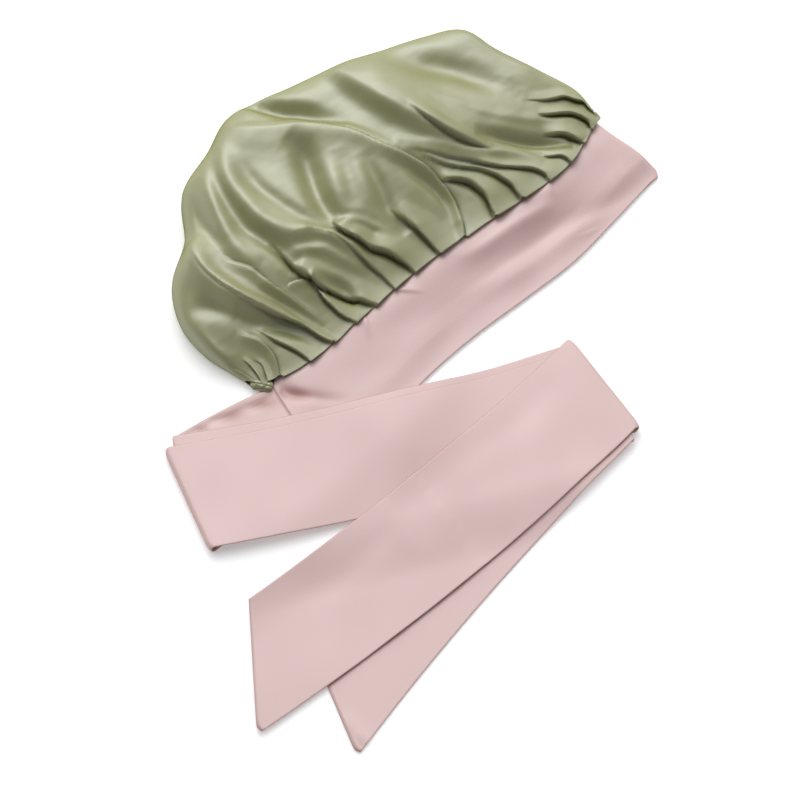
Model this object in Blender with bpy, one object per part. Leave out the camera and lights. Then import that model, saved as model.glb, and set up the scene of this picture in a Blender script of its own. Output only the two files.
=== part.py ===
"""A satin sleep bonnet with two long ties, as it lies on a table.

The bonnet lies on its side, folded flat along the line from the nape to the forehead, with its
crown puffed up. Below, sizes are in millimetres, and they turn into metres as a mesh is made.
In the plan, x runs along the crown's hem from the nape (0) to the forehead, y runs from the open
mouth towards the top of the crown, and z is up from the table.
"""

import math
from collections import namedtuple

import bpy
import numpy as np

for old in list(bpy.data.objects):
    bpy.data.objects.remove(old, do_unlink=True)

MM = 0.001

# Sizes of the real thing.
SEAM_LENGTH = 304.0  # half of the head opening, nape to forehead
STRIP_WIDTH = 75.0  # the pink strip that is the band and both ties
CLOTH = 1.5  # thickness of a wall of cloth
GAP = 0.3  # air between two pieces that touch
LAYER = CLOTH + GAP
LAP = 6.0  # how far the band runs up inside the crown's hem

# Where the nape lies in the object's frame, whose origin is under the middle of its box.
NAPE_X = -75.5
NAPE_Y = 33.0


def column(rows, name):
    """One named column of a table, as an array."""
    return np.array([getattr(row, name) for row in rows], float)


def smooth_step(t):
    """0 below 0, 1 above 1, and a smooth rise between."""
    t = np.clip(t, 0.0, 1.0)
    return t * t * (3.0 - 2.0 * t)


def through(values, t):
    """A smooth curve through evenly spaced values, for t from 0 to 1 (Catmull-Rom)."""
    values = np.asarray(values, float)
    last = len(values) - 1
    place = np.clip(np.asarray(t, float), 0.0, 1.0) * last
    i = np.minimum(place.astype(int), last - 1)
    f = place - i
    before, after = values[np.maximum(i - 1, 0)], values[np.minimum(i + 2, last)]
    a, b = values[i], values[i + 1]
    cubic = 3.0 * (a - b) + after - before
    square = 2.0 * before - 5.0 * a + 4.0 * b - after
    return a + 0.5 * f * (b - before + f * (square + f * cubic))


# Stations along the hem, evenly spaced from the nape to the forehead.
#   hem_y, hem_z: the crown's hem on the upper side; puff: height of the crown behind it;
#   shelf_z: top of the band half way out; brim_y, brim_z: top of the band's free edge
Station = namedtuple("Station", "hem_y hem_z puff shelf_z brim_y brim_z")
STATIONS = (
    Station(-4.0, 7.2, 12.0, 3.3, -77.5, 3.3),
    Station(-8.0, 9.5, 32.0, 4.4, -71.0, 3.4),
    Station(-7.0, 12.0, 40.0, 7.6, -66.5, 5.0),
    Station(-7.0, 14.0, 42.0, 9.5, -65.0, 9.0),
    Station(-10.0, 15.0, 40.0, 10.0, -67.0, 10.0),
    Station(-15.0, 15.0, 36.0, 10.5, -68.0, 10.5),
    Station(-16.0, 14.0, 29.0, 11.5, -63.0, 10.5),
    Station(-3.0, 12.0, 20.0, 11.0, -58.0, 10.0),
)

# The crown's outline on the table, from the nape round the top to the forehead.
#   half: height of the widest point of its rolled edge; roll: how far in the roll reaches
Edge = namedtuple("Edge", "x y half roll")
EDGES = (
    Edge(-6, 12, 3.8, 7),
    Edge(-10, 20, 7, 18),
    Edge(-15, 42, 9, 26),
    Edge(-12, 68, 10, 30),
    Edge(3, 92, 10, 30),
    Edge(27, 108, 10, 30),
    Edge(41, 130, 11, 34),
    Edge(68, 149, 12, 36),
    Edge(104, 160, 12, 38),
    Edge(142, 161, 12, 38),
    Edge(180, 151, 12, 38),
    Edge(218, 138, 11, 36),
    Edge(252, 124, 10, 30),
    Edge(279, 107, 9, 24),
    Edge(291, 82, 9, 20),
    Edge(302, 54, 8, 18),
    Edge(309, 28, 7, 14),
    Edge(308, 7, 6, 7),
)
RISE = 68.0  # how far behind the hem the crown reaches its full height
NAPE_SETBACK = 11.0  # how far the elastic draws the hem back at the nape
NAPE_REACH = 34.0  # how far along the hem that drawing back is seen

# The crown's folds, from the nape to the forehead. Each starts at the hem and runs over near
# and far to its tip. One flank drops steeply over the next pleat, the other is a long bank.
#   hem, height: how high it stands at the hem and at its fullest; pocket: depth of the hollow
#   under the steep flank; drop, bank: widths of the flanks; side: -1 has the drop to the right
Fold = namedtuple(
    "Fold", "hem_x near_x near_y far_x far_y tip_x tip_y hem height pocket drop bank side"
)
FOLDS = (
    Fold(13, 18, 11, 14, 26, 0, 36, 1.2, 4.0, 1.0, 6, 15, 1),
    Fold(37, 31, 6, 25, 22, 19, 42, 1.8, 3.5, 1.2, 6, 16, 1),
    Fold(57, 41, 15, 15, 50, 30, 112, 1.8, 7.0, 2.5, 8, 26, 1),
    Fold(62, 53, 24, 46, 70, 92, 156, 0.0, 4.5, 0.0, 14, 16, 1),
    Fold(75, 69, 10, 70, 20, 76, 32, 1.8, 3.5, 1.5, 6, 15, 1),
    Fold(94, 83, 17, 66, 34, 48, 36, 2.0, 6.0, 3.0, 7, 20, 1),
    Fold(111, 104, 16, 98, 42, 66, 90, 2.0, 5.5, 2.0, 7, 18, 1),
    Fold(108, 100, 46, 82, 72, 84, 140, 0.0, 4.0, 0.0, 10, 16, 1),
    Fold(130, 125, 10, 111, 32, 103, 56, 2.2, 6.5, 3.5, 7, 22, 1),
    Fold(150, 149, 11, 144, 29, 156, 62, 2.2, 5.0, 2.0, 7, 18, 1),
    Fold(171, 179, 8, 184, 22, 184, 38, 2.2, 4.5, 1.5, 6, 20, 1),
    Fold(182, 185, 26, 164, 92, 108, 158, 0.0, 6.0, 2.0, 8, 40, -1),
    Fold(195, 201, 2, 199, 20, 184, 30, 2.2, 4.0, 1.5, 6, 18, 1),
    Fold(219, 221, 2, 208, 22, 178, 54, 2.2, 5.0, 1.5, 7, 16, 1),
    Fold(241, 241, 2, 222, 22, 180, 78, 2.2, 5.5, 1.5, 8, 22, 1),
    Fold(263, 262, -4, 257, 4, 246, 14, 1.8, 2.5, 1.0, 6, 16, 1),
    Fold(281, 282, 0, 275, 10, 262, 20, 1.8, 3.0, 1.0, 6, 14, 1),
    Fold(293, 290, 8, 264, 26, 222, 72, 1.6, 4.5, 1.5, 7, 18, 1),
    Fold(230, 216, 34, 202, 74, 188, 128, 0.0, -6.0, 0.0, 26, 26, 1),
)
FOLD_STEPS = 40  # points at which a fold's course is read
POCKET_WIDTH = 7.0
FOLLOW_FROM = 0.12  # share of a column at which it has fully bent to its pleat
FOLLOW_FADE = 0.38  # share over which the bend is lost again, out to the middle


def station(name, share):
    """A column of the stations at this share of the hem, 0 at the nape."""
    return through(column(STATIONS, name), share)


def outline(name, share):
    """A column of the crown's outline, whose points fan out from the hem's own."""
    return through(column(EDGES, name), share)


def hem_y(share):
    """The crown's hem in the plan, drawn back where the elastic holds the nape."""
    x = SEAM_LENGTH * share
    return station("hem_y", share) + NAPE_SETBACK * smooth_step(1.0 - x / NAPE_REACH)


def fold_course(fold):
    """Points along a fold, in the plan, and how high it stands at each."""
    t = np.linspace(0.0, 1.0, FOLD_STEPS)
    start_y = hem_y(fold.hem_x / SEAM_LENGTH)
    x = through((fold.hem_x, fold.near_x, fold.far_x, fold.tip_x), t)
    y = through((start_y, fold.near_y, fold.far_y, fold.tip_y), t)
    height = through((fold.hem, fold.height, 0.8 * fold.height, 0.0), t)
    return np.stack([x, y], -1), height, t


def fold_height(plan, fold):
    """How far one fold lifts each point of the plan."""
    course, height, t = fold_course(fold)
    tangent = np.gradient(course, axis=0)
    tangent /= np.linalg.norm(tangent, axis=1, keepdims=True)
    away = plan[..., None, :] - course
    nearest = np.argmin((away**2).sum(-1), axis=-1)
    away = np.take_along_axis(away, nearest[..., None, None], axis=-2)[..., 0, :]
    along = tangent[nearest]
    right = fold.side * (away[..., 0] * along[..., 1] - away[..., 1] * along[..., 0])
    past_end = (nearest == 0) | (nearest == FOLD_STEPS - 1)
    distance = np.where(past_end, np.linalg.norm(away, axis=-1), np.abs(right))
    share = t[nearest]
    drop = fold.drop * (0.5 + share)
    bank = fold.bank * (1.0 + 0.6 * share)
    steep = smooth_step(1.0 - distance / drop)
    gentle = np.cos(0.5 * math.pi * np.minimum(distance / bank, 1.0)) ** 2
    lift = height[nearest] * np.where(right > 0.0, gentle, steep)
    hollow = np.clip(1.0 - np.abs(distance - drop) / POCKET_WIDTH, 0.0, 1.0) ** 2
    hollow = hollow * np.sin(math.pi * share) * fold.pocket
    return lift - np.where(right > 0.0, 0.0, hollow)


def crown_base(share, around):
    """A point of the crown's outer face without folds.

    share runs along the hem; around runs from 0 at the upper hem over the rolled outer edge
    at 1 and back under to 2 at the lower hem.
    """
    seam = np.stack([SEAM_LENGTH * share, hem_y(share)], -1)
    edge = np.stack([outline("x", share), outline("y", share)], -1)
    reach = np.linalg.norm(edge - seam, axis=-1)
    out = np.where(around <= 1.0, around, 2.0 - around)
    plan = seam + (edge - seam) * out[..., None]
    from_hem, from_edge = reach * out, reach * (1.0 - out)
    half, roll = outline("half", share), outline("roll", share)
    up = np.minimum(from_hem / RISE, 1.0)
    rise = 0.5 * (smooth_step(up) + 1.0 - (1.0 - up) ** 2)
    hem_z = station("hem_z", share)
    top = hem_z + (station("puff", share) - hem_z) * rise
    tuck = 1.0 - np.minimum(from_edge / roll, 1.0)
    upper = half + (top - half) * np.sqrt(1.0 - tuck**2)
    under = 1.0 - np.minimum(from_edge / np.minimum(half, roll), 1.0)
    lower = half * (1.0 - np.sqrt(1.0 - under**2))
    z = np.where(around <= 1.0, upper, lower)
    return np.concatenate([plan, z[..., None]], -1), from_edge


def follow_pleats(plan, share, around):
    """The same plan with its columns bent to run along the pleats' folds near the hem."""
    pleats = sorted((fold for fold in FOLDS if fold.hem > 0.0), key=lambda fold: fold.hem_x)
    at_hem = column(pleats, "hem_x") / SEAM_LENGTH
    edge_x, edge_y = outline("x", at_hem), outline("y", at_hem)
    out = (column(pleats, "near_y") - hem_y(at_hem)) / (edge_y - hem_y(at_hem))
    straight_x = SEAM_LENGTH * at_hem + (edge_x - SEAM_LENGTH * at_hem) * out
    shift = np.interp(share, at_hem, column(pleats, "near_x") - straight_x, left=0.0, right=0.0)
    near = np.minimum(around / FOLLOW_FROM, 1.0) * smooth_step((0.5 - around) / FOLLOW_FADE)
    plan = plan.copy()
    plan[..., 0] += shift * near
    return plan


def outward(grid):
    """Unit normals of a grid of points, out of the side that faces up where share runs right."""
    normal = np.cross(np.gradient(grid, axis=0), np.gradient(grid, axis=1))
    return normal / np.maximum(np.linalg.norm(normal, axis=-1, keepdims=True), 1e-9)


def cloth_object(name, outer, inner, material):
    """A sheet of cloth as one closed wall between two grids of points, in millimetres."""
    rows, columns = outer.shape[:2]
    points = np.concatenate([outer.reshape(-1, 3), inner.reshape(-1, 3)])
    points = (points + (NAPE_X, NAPE_Y, 0.0)) * MM
    first = np.arange(rows * columns).reshape(rows, columns)
    a, b, c, d = first[:-1, :-1], first[1:, :-1], first[1:, 1:], first[:-1, 1:]
    faces = [tuple(q) for q in np.stack([a, b, c, d], -1).reshape(-1, 4).tolist()]
    below = rows * columns
    faces += [tuple(i + below for i in reversed(q)) for q in faces]
    rim = [*first[0, :], *first[1:, -1], *first[-1, -2::-1], *first[-2:0:-1, 0]]
    for here, there in zip(rim, rim[1:] + rim[:1]):
        faces.append((int(here), int(there), int(there) + below, int(here) + below))
    mesh = bpy.data.meshes.new(name)
    mesh.from_pydata(points.tolist(), [], faces)
    mesh.materials.append(material)
    mesh.shade_smooth()
    mesh.set_sharp_from_angle(angle=math.radians(50))
    mesh.update()
    obj = bpy.data.objects.new(name, mesh)
    bpy.context.scene.collection.objects.link(obj)
    return obj


def satin(name, colour, roughness):
    """A cloth material of one colour."""
    material = bpy.data.materials.new(name)
    material.use_nodes = True
    shader = material.node_tree.nodes["Principled BSDF"]
    shader.inputs["Base Color"].default_value = (*colour, 1.0)
    shader.inputs["Roughness"].default_value = roughness
    shader.inputs["Metallic"].default_value = 0.0
    shader.inputs["Sheen Weight"].default_value = 0.2
    return material


def make_crown(material):
    """The bag: columns stand at each pleat's crevice, crest and middle."""
    pleats = sorted(fold.hem_x for fold in FOLDS if fold.hem > 0.0)
    places = [0.0, 6.0]
    for x, after in zip(pleats, pleats[1:] + [SEAM_LENGTH]):
        places += [x - 2.8, x + 0.6]
        places += [x + part * (after - x) for part in ((0.4, 0.7) if after - x > 19.5 else (0.5,))]
    shares = np.array([*places, SEAM_LENGTH]) / SEAM_LENGTH
    upper = np.concatenate([np.linspace(0.0, 0.30, 8), np.linspace(0.38, 0.86, 6)])
    rolled = np.array([0.915, 0.955, 0.985, 1.0, 1.015, 1.045, 1.10])
    under = np.array([1.4, 1.7, 2.0])
    around = np.concatenate([upper, rolled, under])
    share, around = np.meshgrid(shares, around, indexing="ij")
    base, from_edge = crown_base(share, around)
    base[..., :2] = follow_pleats(base[..., :2], share, around)
    inside = base - outward(base) * CLOTH
    lift = sum(fold_height(base[..., :2], fold) for fold in FOLDS)
    lift *= smooth_step(from_edge / 16.0) * (around < 1.0)
    base[..., 2] += lift
    inside[..., 2] += lift
    return cloth_object("crown", base, inside, material)


# The band. Its upper half lies over its lower half, and both run on as ties past the nape.
FOLD_X = 295.5  # where the upper half starts to turn down at the forehead, at the hem
FOLD_FLARE = 5.5  # how much farther out the fold lies at the free edge
FOLD_BULGE = 5.5  # how far the turn at the forehead stands out
SHELF_FROM = 0.08  # share of the band's width that stays level under the crown's hem
SLOPE_WIDTH = 0.5  # share of the width over which it falls to the shelf
BRIM_FROM = 0.45  # share of the width where the shelf starts to lead to the free edge
FLAT_AT_NAPE = 17.0  # length over which the band rises from two flat layers at the nape
LIFT_REACH = 12.0  # length from the joint over which the crown's hem comes in under the band
JOINT_TOP = (6.0, -4.0)  # upper end of the line where the ties take over from the band
JOINT_HEADING = 78.0
JOINT_REACH = 45.0  # how far along the band its slant at that line is felt
FOLD_SIDES = 6
LAP_REACH = 25.0  # length at each end of the hem over which the lap runs out


def band_top(share, across):
    """Top of the band's upper half: a shelf at the hem, a slope, and a flatter free edge."""
    hem_z = crown_base(share, np.zeros_like(share))[0][..., 2] - LAYER
    flat_z = 2.0 * CLOTH + GAP
    hem_z = flat_z + (hem_z - flat_z) * smooth_step(SEAM_LENGTH * share / FLAT_AT_NAPE)
    shelf, brim = station("shelf_z", share), station("brim_z", share)
    slope = hem_z + (shelf - hem_z) * smooth_step((across - SHELF_FROM) / SLOPE_WIDTH)
    return slope + (brim - shelf) * smooth_step((across - BRIM_FROM) / (1.0 - BRIM_FROM))


def band_plan(share, across):
    """A point of the band in the plan; across is 0 inside the crown's hem, 1 at the free edge."""
    x = SEAM_LENGTH * share
    lap = LAP * smooth_step(x / LAP_REACH) * smooth_step((SEAM_LENGTH + LAP - x) / LAP_REACH)
    top, brim = station("hem_y", share) + lap, station("brim_y", share)
    y = top + (brim - top) * across
    slant = (JOINT_TOP[0] + GAP) + (y - JOINT_TOP[1]) / math.tan(math.radians(JOINT_HEADING))
    end = FOLD_X + FOLD_FLARE * smooth_step(across / 0.7)
    x = x * end / SEAM_LENGTH + slant * (1.0 - smooth_step(x / JOINT_REACH))
    return np.stack([x, y], -1)


def under_lift(plan):
    """How far the band's lower half is raised by the crown's hem that lies under it."""
    x, y = plan[..., 0], plan[..., 1]
    from_hem = hem_y(np.clip(x / SEAM_LENGTH, 0.0, 1.0)) - y
    ramp = smooth_step((2.2 * LAP - from_hem) / (1.4 * LAP))
    return LAYER * ramp * smooth_step((x - JOINT_TOP[0]) / LIFT_REACH)


def make_band(material):
    """Both halves of the band with the fold at the forehead between them, as one wall."""
    share = np.array([0.0, 0.035, 0.08, *np.linspace(0.14, 0.96, 12), 1.0])
    across = np.array([1.0, 0.86, 0.72, 0.58, 0.44, 0.32, 0.2, 0.09, 0.0])
    share, across = np.meshgrid(share, across, indexing="ij")
    plan = band_plan(share, across)
    top = band_top(share, across)
    floor = under_lift(plan)
    upper = np.concatenate([plan, top[..., None]], -1)
    lower = np.concatenate([plan, floor[..., None]], -1)[::-1]
    down = np.array([0.0, 0.0, -CLOTH])
    turns = []
    middle, half = 0.5 * (top[-1] + floor[-1]), 0.5 * (top[-1] - floor[-1])
    for angle in np.linspace(0.0, math.pi, FOLD_SIDES + 1)[1:-1]:
        faces = []
        for less in (0.0, CLOTH):
            x = plan[-1, :, 0] + (FOLD_BULGE - less) * math.sin(angle)
            z = middle + (half - less) * math.cos(angle)
            faces.append(np.stack([x, plan[-1, :, 1], z], -1))
        turns.append(faces)
    outer = np.concatenate([upper, [turn[0] for turn in turns], lower])
    inner = np.concatenate([upper + down, [turn[1] for turn in turns], lower - down])
    return cloth_object("band", outer, inner, material)


# The ties. Each leg is an arc from one heading to another, in degrees from the x axis, and the
# strip is folded back on itself between legs.
#   level: how many layers lie under the leg where it lies on the most
Leg = namedtuple("Leg", "length start end level steps")
UPPER_TIE = (
    Leg(80.0, 169.0, 166.0, 1, 6),
    Leg(273.0, -33.0, -21.5, 0, 27),
    Leg(294.0, 183.5, 174.0, 1, 26),
)
LOWER_TIE = (
    Leg(84.0, 171.0, 174.0, 0, 6),
    Leg(271.0, -31.5, -22.5, 1, 27),
    Leg(266.0, 183.0, 191.5, 0, 24),
)
CUT_ANGLE = 58.0  # slant of a tie's end to its own length
TIE_COLUMNS = 8
TURN_STEPS = 4

# The pile that the legs lie on. Each height falls off over a length that the cloth bridges.
CORNER_RISE = 1.6  # how much the corner of the band adds to two layers
CORNER_FROM = (-10.0, 50.0)  # where along x that starts, and over what length
HILL_EDGE = (-130.0, 52.0)  # lower end of what the second legs lie on, across y
HILL_END = (155.0, 75.0)  # its far end, along the second legs
SECOND_LEG_CORNER = (-105.0, -64.0)  # a point of the second legs' lower edge
SECOND_LEG_HEADING = math.radians(-27.2)
PILE_EDGE = (-48.0, 42.0)  # how far past that edge the third legs come down to the table


def rise_over(position, start_and_length):
    """0 before the start, 1 after the length, smooth between."""
    return smooth_step((position - start_and_length[0]) / start_and_length[1])


def hill(plan):
    """Height of what the second legs lie on: the first legs and the corner of the band."""
    x, y = plan[..., 0], plan[..., 1]
    along = x * math.cos(SECOND_LEG_HEADING) + y * math.sin(SECOND_LEG_HEADING)
    height = 2.0 * LAYER + CORNER_RISE * rise_over(x, CORNER_FROM)
    return height * rise_over(y, HILL_EDGE) * smooth_step((HILL_END[0] - along) / HILL_END[1])


def pile(plan):
    """Height of what the third legs lie on: the second legs, out to where these end."""
    x, y = plan[..., 0] - SECOND_LEG_CORNER[0], plan[..., 1] - SECOND_LEG_CORNER[1]
    inside = y * math.cos(SECOND_LEG_HEADING) - x * math.sin(SECOND_LEG_HEADING)
    return hill(plan) + 2.0 * LAYER * rise_over(inside, PILE_EDGE)


def leg_bottom(number, level, plan):
    """Height of a leg's underside over the table."""
    under = (np.zeros(plan.shape[:-1]), hill(plan), pile(plan))[number]
    return under + level * LAYER


def unit(heading):
    return np.array([math.cos(heading), math.sin(heading)])


def turned_to(heading, like):
    """The same line as heading, named by whichever of its two directions is near like."""
    return heading + math.pi * round((like - heading) / math.pi)


def leg_rows(leg, number, middle, first_row, last_row):
    """Plan and underside height of each row of a leg, and the middle and heading it ends with."""
    across = np.linspace(0.5, -0.5, TIE_COLUMNS + 1)[:, None] * STRIP_WIDTH
    rows, piece = [], leg.length / leg.steps
    for step in range(leg.steps + 1):
        t = step / leg.steps
        heading = math.radians(leg.start + (leg.end - leg.start) * t)
        row = first_row + (last_row - first_row) * t
        plan = middle + across * unit(row) / abs(math.sin(row - heading))
        rows.append((plan, leg_bottom(number, leg.level, plan)))
        if step < leg.steps:
            halfway = t + 0.5 / leg.steps
            ahead = unit(math.radians(leg.start + (leg.end - leg.start) * halfway))
            middle = middle + ahead * piece
    return rows, middle, heading


def turn_rows(plan, bottom, top, row, heading):
    """The two faces of the fold between two legs, outer and inner, over the fold's line."""
    out = unit(row - 0.5 * math.pi)
    out *= np.sign(out @ unit(heading))
    centre, half = 0.5 * (top + bottom), 0.5 * (top - bottom)
    faces = ([], [])
    for step in range(1, TURN_STEPS):
        angle = math.pi * step / TURN_STEPS
        for face, radius in zip(faces, (half, half - CLOTH)):
            turned = plan + out * (radius * math.sin(angle))[:, None]
            z = centre - radius * math.cos(angle)
            face.append(np.concatenate([turned, z[:, None]], -1))
    return faces


def tie_grids(legs):
    """The two faces of a tie, row by row from the nape to its slanted end."""
    row = math.radians(JOINT_HEADING)
    middle = np.array(JOINT_TOP) - 0.5 * STRIP_WIDTH * unit(row)
    faces = ([], [])
    for number, leg in enumerate(legs):
        if number + 1 < len(legs):
            last_row = 0.5 * math.radians(leg.end + legs[number + 1].start)
        else:
            last_row = math.radians(leg.end + CUT_ANGLE)
        last_row = turned_to(last_row, row)
        rows, middle, heading = leg_rows(leg, number, middle, row, last_row)
        upper, lower = faces if number % 2 == 0 else faces[::-1]
        for plan, bottom in rows:
            lower.append(np.concatenate([plan, bottom[:, None]], -1))
            upper.append(lower[-1] + (0.0, 0.0, CLOTH))
        row = last_row
        if number + 1 < len(legs):
            top = leg_bottom(number + 1, legs[number + 1].level, plan) + CLOTH
            outer, inner = turn_rows(plan, bottom, top, row, heading)
            lower.extend(outer)
            upper.extend(inner)
    return np.array(faces[0]), np.array(faces[1])


def make_tie(name, legs, material):
    """One tie as a closed wall. Its first face is on top in the first and third legs."""
    first, second = tie_grids(legs)
    return cloth_object(name, first, second, material)


# The elastic casing at the nape, a short ruched roll between the roots of the ties.
CASING_MIDDLE = (0.6, 2.3)
CASING_HEADING = -24.0
CASING_LENGTH = 19.0
CASING_WIDTH = 7.0
CASING_HEIGHT = 7.4
CASING_PUCKERS = 4
CASING_SIDES = 12
PUCKER_DEPTH = 0.16  # as a share of the section
END_SIZE = 0.55  # size of the roll's ends, as a share of its middle


def make_casing(material):
    """A small closed roll, ringed by its puckers, that narrows to both ends."""
    ahead = unit(math.radians(CASING_HEADING))
    left = unit(math.radians(CASING_HEADING + 90.0))
    rings, sides = 4 * CASING_PUCKERS + 1, CASING_SIDES
    points, faces = [], []
    for ring in range(rings):
        t = ring / (rings - 1)
        swell = 1.0 - PUCKER_DEPTH * (0.5 + 0.5 * math.cos(2.0 * math.pi * CASING_PUCKERS * t))
        size = swell * (END_SIZE + (1.0 - END_SIZE) * math.sin(math.pi * t) ** 0.5)
        for side in range(sides):
            angle = 2.0 * math.pi * side / sides
            wide = 0.5 * CASING_WIDTH * size * math.cos(angle)
            tall = 0.5 * CASING_HEIGHT * (1.0 + size * math.sin(angle))
            plan = CASING_MIDDLE + ahead * (t - 0.5) * CASING_LENGTH + left * wide
            points.append(((plan[0] + NAPE_X) * MM, (plan[1] + NAPE_Y) * MM, tall * MM))
    for ring in range(rings - 1):
        for side in range(sides):
            a, b = ring * sides + side, ring * sides + (side + 1) % sides
            faces.append((a, b, b + sides, a + sides))
    faces.append(tuple(range(sides - 1, -1, -1)))
    faces.append(tuple(range(len(points) - sides, len(points))))
    mesh = bpy.data.meshes.new("nape_casing")
    mesh.from_pydata(points, [], faces)
    mesh.materials.append(material)
    mesh.shade_smooth()
    obj = bpy.data.objects.new("nape_casing", mesh)
    bpy.context.scene.collection.objects.link(obj)
    return obj


SAGE = satin("sage satin", (0.33, 0.34, 0.22), 0.38)
BLUSH = satin("blush satin", (0.70, 0.53, 0.52), 0.5)

make_crown(SAGE)
make_casing(SAGE)
make_band(BLUSH)
make_tie("upper_tie", UPPER_TIE, BLUSH)
make_tie("lower_tie", LOWER_TIE, BLUSH)
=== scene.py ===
# The bonnet lies on a table, on its side, as it was laid down after it was ironed: the crown is
# puffed up, the band lies flat in front of it, and the two ties are folded back and forth. The
# cloth's sizes are millimetres in the bonnet's own plan, and turn into metres as each mesh is
# made. The sizes of the table and the lights are metres.
import math
from collections import namedtuple

import bpy
import numpy as np
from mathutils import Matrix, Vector


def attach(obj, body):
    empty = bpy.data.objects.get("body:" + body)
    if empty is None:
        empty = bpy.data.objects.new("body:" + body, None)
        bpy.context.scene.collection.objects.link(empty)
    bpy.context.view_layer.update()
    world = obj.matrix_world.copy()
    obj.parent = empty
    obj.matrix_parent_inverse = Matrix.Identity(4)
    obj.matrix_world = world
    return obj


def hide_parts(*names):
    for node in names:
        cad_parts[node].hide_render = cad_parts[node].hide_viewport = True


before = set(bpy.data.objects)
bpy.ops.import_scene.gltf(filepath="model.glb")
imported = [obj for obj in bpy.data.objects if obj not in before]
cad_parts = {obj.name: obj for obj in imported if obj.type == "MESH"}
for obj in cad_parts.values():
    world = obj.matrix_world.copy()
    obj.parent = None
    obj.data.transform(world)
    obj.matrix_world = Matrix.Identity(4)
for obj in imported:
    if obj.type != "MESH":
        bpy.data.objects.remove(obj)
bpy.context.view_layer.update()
MM = 0.001


# The camera stands at the nape's side and looks down at the table at 62 degrees, from 1.7 m
# away. The shift holds the point that the lens is aimed at right of the frame's middle.
AIM = (-7.0, -38.1, 0.0)
CAMERA_DISTANCE = 1700.0
LOOK_DOWN = math.radians(62.0)
LOOK_ALONG = math.radians(47.18)
PIXELS_PER_MM = 1.55
FRAME_PIXELS = 800.0
AIM_OFF_CENTRE = 15.0
SENSOR_WIDTH = 36.0

looking = Vector((math.cos(LOOK_ALONG) * math.cos(LOOK_DOWN),
                  math.sin(LOOK_ALONG) * math.cos(LOOK_DOWN), -math.sin(LOOK_DOWN)))
camera_data = bpy.data.cameras.new("camera")
camera_data.sensor_width = SENSOR_WIDTH
camera_data.lens = SENSOR_WIDTH * PIXELS_PER_MM * CAMERA_DISTANCE / FRAME_PIXELS
camera_data.shift_x = -AIM_OFF_CENTRE / FRAME_PIXELS
camera_data.clip_start = 0.05
camera = bpy.data.objects.new("camera", camera_data)
camera.location = (Vector(AIM) - looking * CAMERA_DISTANCE) * MM
camera.rotation_mode = "QUATERNION"
camera.rotation_quaternion = looking.to_track_quat("-Z", "Y")
bpy.context.scene.collection.objects.link(camera)
bpy.context.scene.camera = camera


# The table is a plain white sheet in a bright room. Most light comes from a wide pale ceiling and
# a square panel above and behind the bonnet, and less from the camera's side, so the satin's
# slopes that face the camera are darker and every shadow has a soft edge.
TABLE_SIZE, TABLE_DROP = 6.0, 0.0002
TABLE_WHITE, TABLE_GLOW, TABLE_ROUGHNESS, TABLE_SHINE = 0.84, 0.26, 0.9, 0.1
PANEL_SIZE, PANEL_POWER, PANEL_AT = 0.9, 8.0, (0.6, 1.15, 1.45)
CEILING_TOWARDS, CEILING_BEGINS = (0.36, 0.57, 0.74), 0.45
ROOM_DARK, ROOM_BRIGHT, ROOM_COLOUR = 0.24, 2.2, (0.985, 0.99, 1.0, 1.0)

table_mesh = bpy.data.meshes.new("table")
half_table = TABLE_SIZE / 2
table_corners = [(x * half_table, y * half_table, 0.0)
                 for x, y in ((-1, -1), (1, -1), (1, 1), (-1, 1))]
table_mesh.from_pydata(table_corners, [], [(0, 1, 2, 3)])
table = bpy.data.objects.new("table", table_mesh)
table.location.z = -TABLE_DROP
bpy.context.scene.collection.objects.link(table)
table_paint = bpy.data.materials.new("white table")
table_paint.use_nodes = True
paint = table_paint.node_tree.nodes["Principled BSDF"]
paint.inputs["Base Color"].default_value = (TABLE_WHITE, TABLE_WHITE, TABLE_WHITE, 1.0)
paint.inputs["Emission Color"].default_value = (1.0, 1.0, 1.0, 1.0)
paint.inputs["Emission Strength"].default_value = TABLE_GLOW
paint.inputs["Roughness"].default_value = TABLE_ROUGHNESS
paint.inputs["Specular IOR Level"].default_value = TABLE_SHINE
table.data.materials.append(table_paint)

lamp = bpy.data.lights.new("light panel", "AREA")
lamp.size, lamp.energy = PANEL_SIZE, PANEL_POWER
panel = bpy.data.objects.new("light panel", lamp)
panel.location = PANEL_AT
panel.rotation_mode = "QUATERNION"
panel.rotation_quaternion = (-Vector(PANEL_AT)).to_track_quat("-Z", "Y")
bpy.context.scene.collection.objects.link(panel)

room = bpy.data.worlds.new("bright room")
room.use_nodes = True
nodes, links = room.node_tree.nodes, room.node_tree.links
sky = nodes["Background"]
sky.inputs["Color"].default_value = ROOM_COLOUR
direction = nodes.new("ShaderNodeTexCoord")
facing = nodes.new("ShaderNodeVectorMath")
facing.operation = "DOT_PRODUCT"
facing.inputs[1].default_value = Vector(CEILING_TOWARDS).normalized()
links.new(direction.outputs["Generated"], facing.inputs[0])
brightness = nodes.new("ShaderNodeMapRange")
brightness.interpolation_type = "SMOOTHSTEP"
brightness.inputs["From Min"].default_value = CEILING_BEGINS
brightness.inputs["From Max"].default_value = 1.0
brightness.inputs["To Min"].default_value = ROOM_DARK
brightness.inputs["To Max"].default_value = ROOM_BRIGHT
links.new(facing.outputs["Value"], brightness.inputs["Value"])
links.new(brightness.outputs["Result"], sky.inputs["Strength"])
bpy.context.scene.world = room
bpy.context.scene.view_settings.view_transform = "Standard"


# The crown is a bag of sage satin, cut as a disc, knife-pleated round its edge and sewn to the
# band. It lies on its lower half, and air holds the upper half up. This first part is its plan:
# the hem, the outline on the table, and how high the cloth stands without its folds.
NAPE = np.array([-75.5, 33.0])
SEAM = 304.0
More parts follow.
